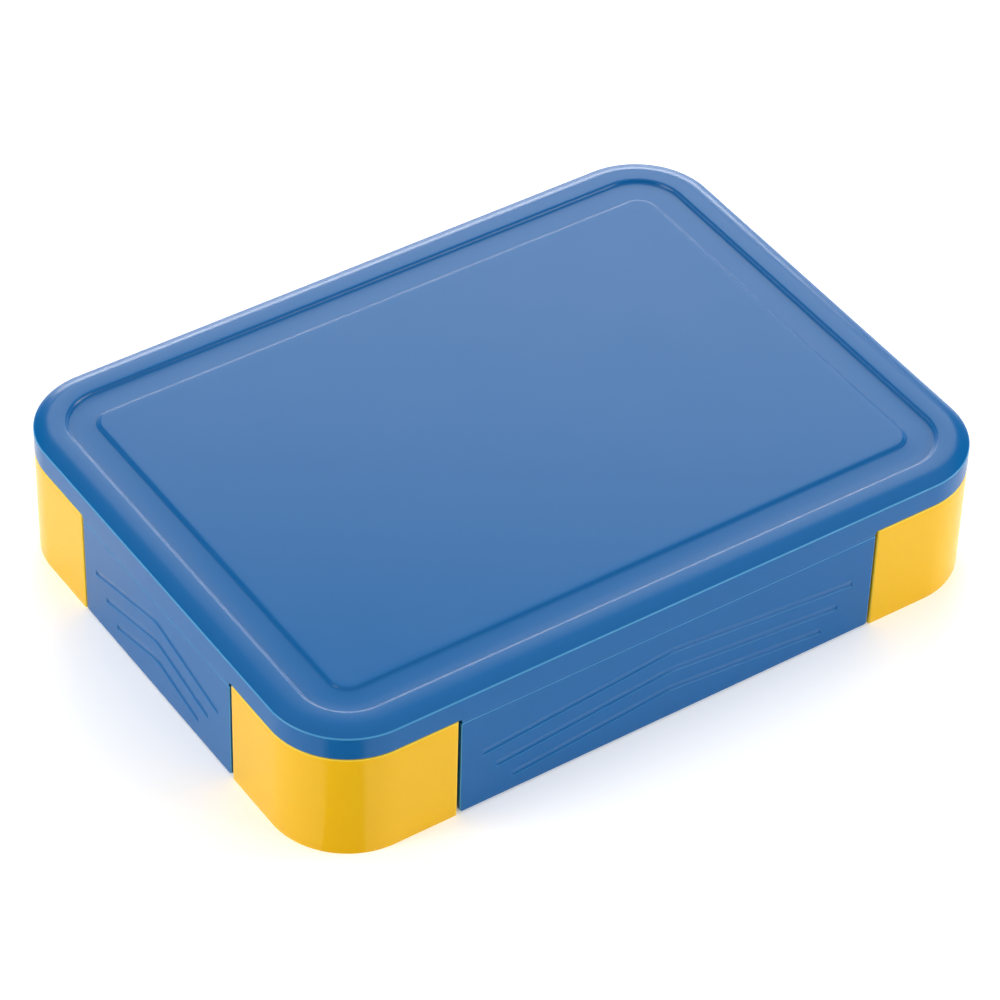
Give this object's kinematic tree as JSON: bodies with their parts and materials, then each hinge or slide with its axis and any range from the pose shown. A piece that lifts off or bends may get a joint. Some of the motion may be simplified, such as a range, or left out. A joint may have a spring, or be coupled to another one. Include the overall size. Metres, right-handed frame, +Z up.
{
  "type": "bento lunch box",
  "caption": "Flat rectangular bento lunch box with a sealed snap lid, hinged locking flaps on every side and a lift-out tray divided into compartments.",
  "frame": {"origin": "middle of the footprint, on the surface that the box stands on", "axes": "+X along the long sides, +Y from the front long side to the back one, +Z up through the lid"},
  "size_m": [0.24, 0.178, 0.047],
  "materials": {
    "blue_plastic": "satin moulded polypropylene, mid blue",
    "yellow_plastic": "satin moulded polypropylene, warm yellow",
    "tray_plastic": "satin moulded polypropylene, pale blue",
    "seal_silicone": "matt translucent white silicone"
  },
  "bodies": {
    "base": {"base_box": "yellow_plastic"},
    "tray": {"compartment_tray": "tray_plastic"},
    "lid": {"lid_shell": "blue_plastic", "lid_seal": "seal_silicone", "front_hinge_film": "blue_plastic", "back_hinge_film": "blue_plastic", "left_hinge_film": "blue_plastic", "right_hinge_film": "blue_plastic"},
    "front_flap_body": {"front_flap": "blue_plastic"},
    "back_flap_body": {"back_flap": "blue_plastic"},
    "left_flap_body": {"left_flap": "blue_plastic"},
    "right_flap_body": {"right_flap": "blue_plastic"}
  },
  "joints": [
    {"name": "tray_lift", "type": "slide", "parent": "base", "child": "tray", "axis": [0, 0, 1], "range_m": [0, 0.05]},
    {"name": "lid_lift", "type": "slide", "parent": "tray", "child": "lid", "axis": [0, 0, 1], "range_m": [0, 0.06]},
    {"name": "front_flap_hinge", "type": "hinge", "parent": "lid", "child": "front_flap_body", "pos_m": [0, -0.08875, 0.0367], "axis": [-1, 0, 0], "range_deg": [0, 110], "deforming": ["front_hinge_film"]},
    {"name": "back_flap_hinge", "type": "hinge", "parent": "lid", "child": "back_flap_body", "pos_m": [0, 0.08875, 0.0367], "axis": [1, 0, 0], "range_deg": [0, 110], "deforming": ["back_hinge_film"]},
    {"name": "left_flap_hinge", "type": "hinge", "parent": "lid", "child": "left_flap_body", "pos_m": [-0.11975, 0, 0.0367], "axis": [0, 1, 0], "range_deg": [0, 110], "deforming": ["left_hinge_film"]},
    {"name": "right_flap_hinge", "type": "hinge", "parent": "lid", "child": "right_flap_body", "pos_m": [0.11975, 0, 0.0367], "axis": [0, -1, 0], "range_deg": [0, 110], "deforming": ["right_hinge_film"]}
  ]
}
